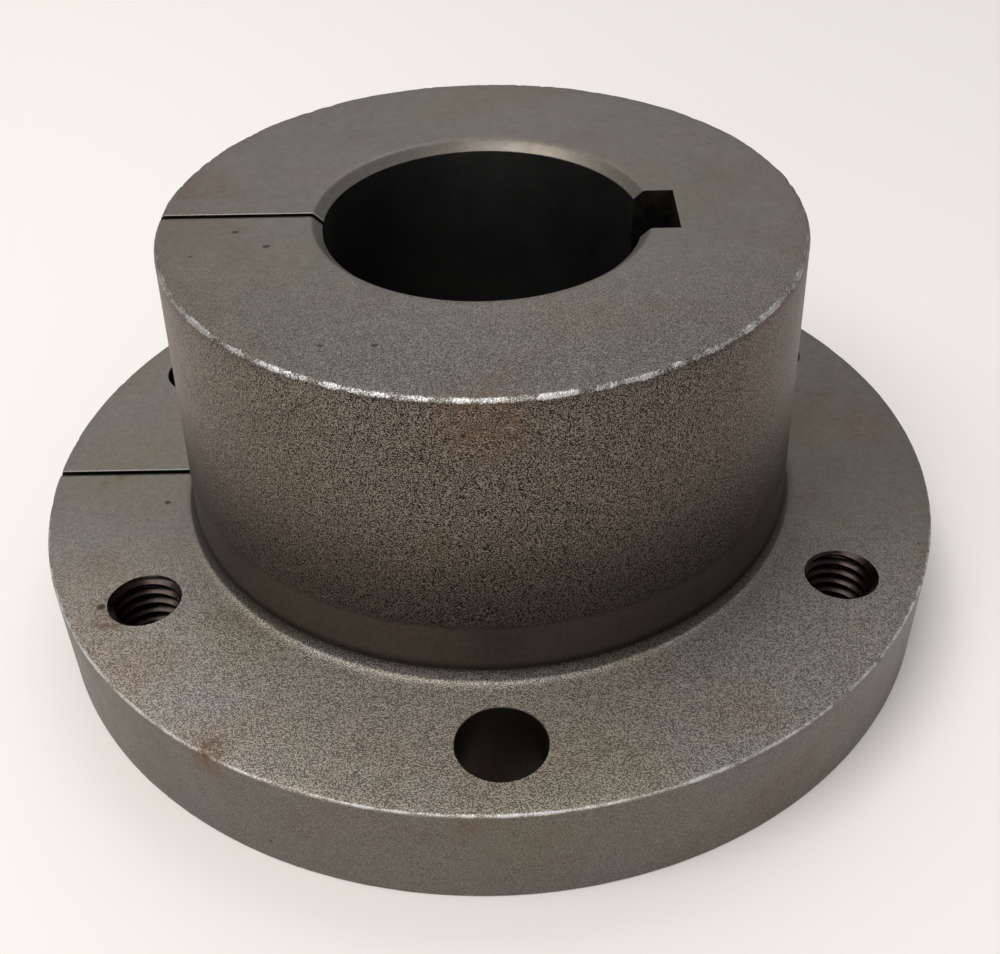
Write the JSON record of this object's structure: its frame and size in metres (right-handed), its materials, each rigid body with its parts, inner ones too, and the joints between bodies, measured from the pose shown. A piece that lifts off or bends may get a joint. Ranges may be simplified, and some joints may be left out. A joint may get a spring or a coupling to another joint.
{
  "type": "split taper bushing",
  "caption": "Flanged iron bushing with a split, tapered barrel, keyed bore, plain cap-screw holes and tapped jack-screw holes.",
  "frame": {"origin": "centre of the flange's back face, on the bore's axis", "axes": "+Z along the bore, towards the small end of the tapered barrel; +X through the keyway; -X through the saw cut"},
  "size_m": [0.1174, 0.1174, 0.0524],
  "materials": {
    "iron": "bare, machined, darkened with age, bright where edges are worn"
  },
  "bodies": {
    "root": {"split_taper_bush": "iron"}
  },
  "joints": []
}
